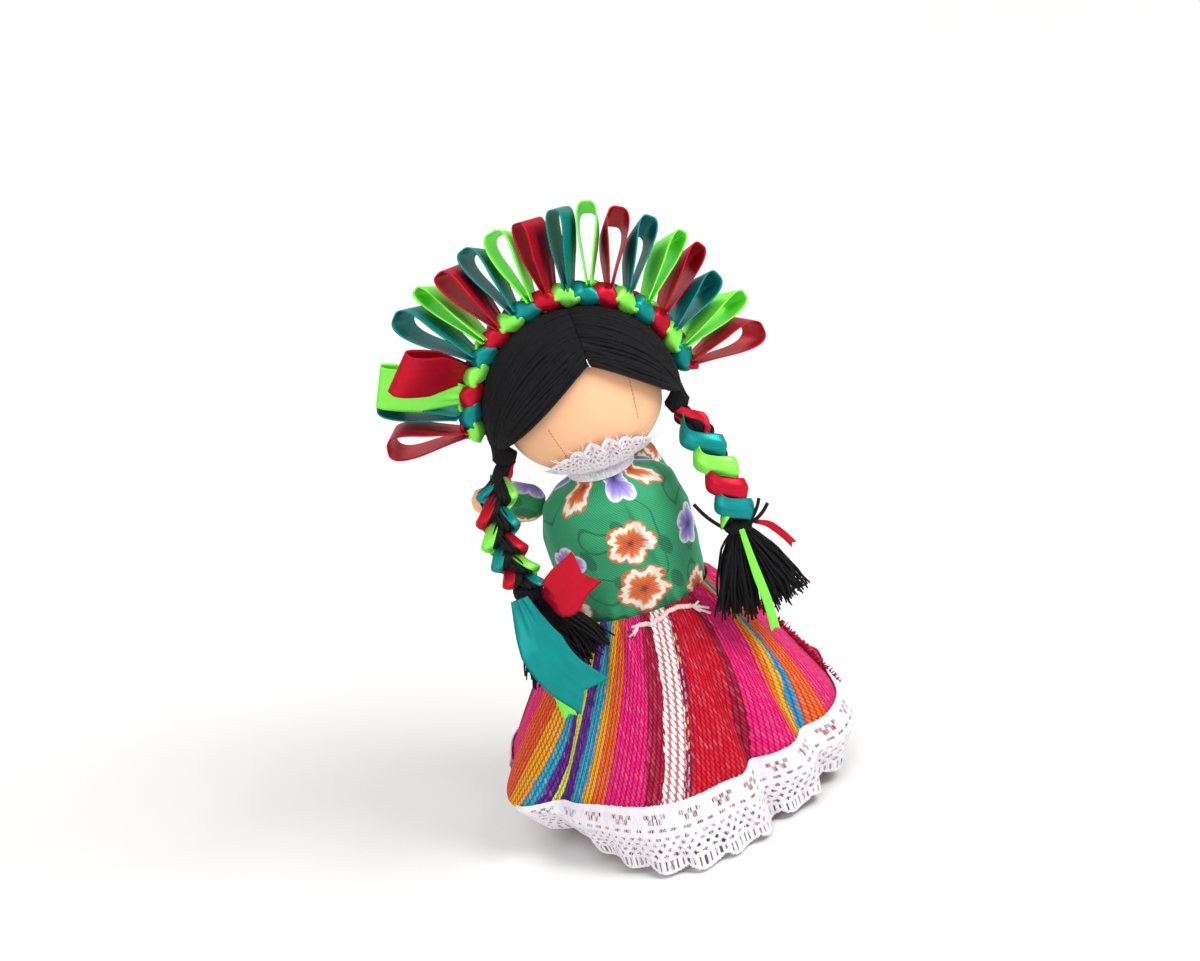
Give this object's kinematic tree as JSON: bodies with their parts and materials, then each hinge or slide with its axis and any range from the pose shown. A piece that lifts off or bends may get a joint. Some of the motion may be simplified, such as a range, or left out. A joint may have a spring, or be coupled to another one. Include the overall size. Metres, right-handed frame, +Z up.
{
  "type": "cloth doll",
  "caption": "Soft cloth doll with a plain face, yarn braids laced with ribbon, a headdress of satin ribbon loops, a printed blouse and a gathered striped skirt with a lace hem.",
  "frame": {"origin": "on the table, under the middle of the hem", "axes": "+Z up, the doll faces -Y, +X to the right of someone facing it"},
  "size_m": [0.0864, 0.0848, 0.1379],
  "materials": {
    "skin": "matte peach cotton",
    "muslin": "plain undyed cotton, hidden under the clothes",
    "print": "fine green twill with printed flowers",
    "lace": "white open lace",
    "weave": "coarse hand-woven twill in bright stripes",
    "cord": "off-white cotton cord",
    "yarn": "matte black yarn",
    "satin_red": "satin",
    "satin_teal": "satin",
    "satin_lime": "satin"
  },
  "bodies": {
    "body": {"torso": "muslin", "head": "skin", "blouse": "print", "collar_lace": "lace", "skirt": "weave", "hem_lace": "lace", "waist_cord": "cord", "hair_left": "yarn", "hair_right": "yarn", "crown_ribbon_red": "satin_red", "crown_ribbon_teal": "satin_teal", "crown_ribbon_lime": "satin_lime", "loop_01_red": "satin_red", "loop_02_teal": "satin_teal", "loop_03_lime": "satin_lime", "loop_04_red": "satin_red", "loop_05_teal": "satin_teal", "loop_06_lime": "satin_lime", "loop_07_red": "satin_red", "loop_08_teal": "satin_teal", "loop_09_lime": "satin_lime", "loop_10_red": "satin_red", "loop_11_teal": "satin_teal", "loop_12_lime": "satin_lime", "loop_13_red": "satin_red", "loop_14_teal": "satin_teal", "loop_15_lime": "satin_lime", "loop_16_red": "satin_red", "loop_17_teal": "satin_teal", "loop_18_lime": "satin_lime", "loop_19_red": "satin_red"},
    "arm_left": {"arm_left": "skin", "sleeve_left": "print"},
    "leg_left": {"leg_left": "skin"},
    "arm_right": {"arm_right": "skin", "sleeve_right": "print"},
    "leg_right": {"leg_right": "skin"},
    "braid_left": {"braid_left_yarn_1": "yarn", "braid_left_yarn_2": "yarn", "braid_left_yarn_3": "yarn", "braid_left_red": "satin_red", "braid_left_teal": "satin_teal", "braid_left_lime": "satin_lime", "tie_left": "yarn", "tassel_left": "yarn", "tail_left_red": "satin_red", "tail_left_teal": "satin_teal", "tail_left_lime": "satin_lime"},
    "braid_right": {"braid_right_yarn_1": "yarn", "braid_right_yarn_2": "yarn", "braid_right_yarn_3": "yarn", "braid_right_red": "satin_red", "braid_right_teal": "satin_teal", "braid_right_lime": "satin_lime", "tie_right": "yarn", "tassel_right": "yarn", "tail_right_lime": "satin_lime", "tail_right_red": "satin_red"}
  },
  "joints": [
    {"name": "shoulder_left", "type": "hinge", "parent": "body", "child": "arm_left", "pos_m": [-0.01735, 0.00754, 0.0732], "axis": [0, 0, -1], "range_deg": [-20, 65]},
    {"name": "hip_left", "type": "hinge", "parent": "body", "child": "leg_left", "pos_m": [-0.007, 0, 0.0377], "axis": [-1, 0, 0], "range_deg": [-20, 35]},
    {"name": "braid_left_swing", "type": "hinge", "parent": "body", "child": "braid_left", "pos_m": [-0.0195, -0.0036, 0.0922], "axis": [0, 1, 0], "range_deg": [0, 55]},
    {"name": "shoulder_right", "type": "hinge", "parent": "body", "child": "arm_right", "pos_m": [0.00983, 0.0139, 0.0732], "axis": [0, 0, 1], "range_deg": [-65, 6]},
    {"name": "hip_right", "type": "hinge", "parent": "body", "child": "leg_right", "pos_m": [0.007, 0, 0.0377], "axis": [-1, 0, 0], "range_deg": [-20, 35]},
    {"name": "braid_right_swing", "type": "hinge", "parent": "body", "child": "braid_right", "pos_m": [0.0195, -0.0036, 0.0922], "axis": [0, -1, 0], "range_deg": [0, 55]}
  ]
}
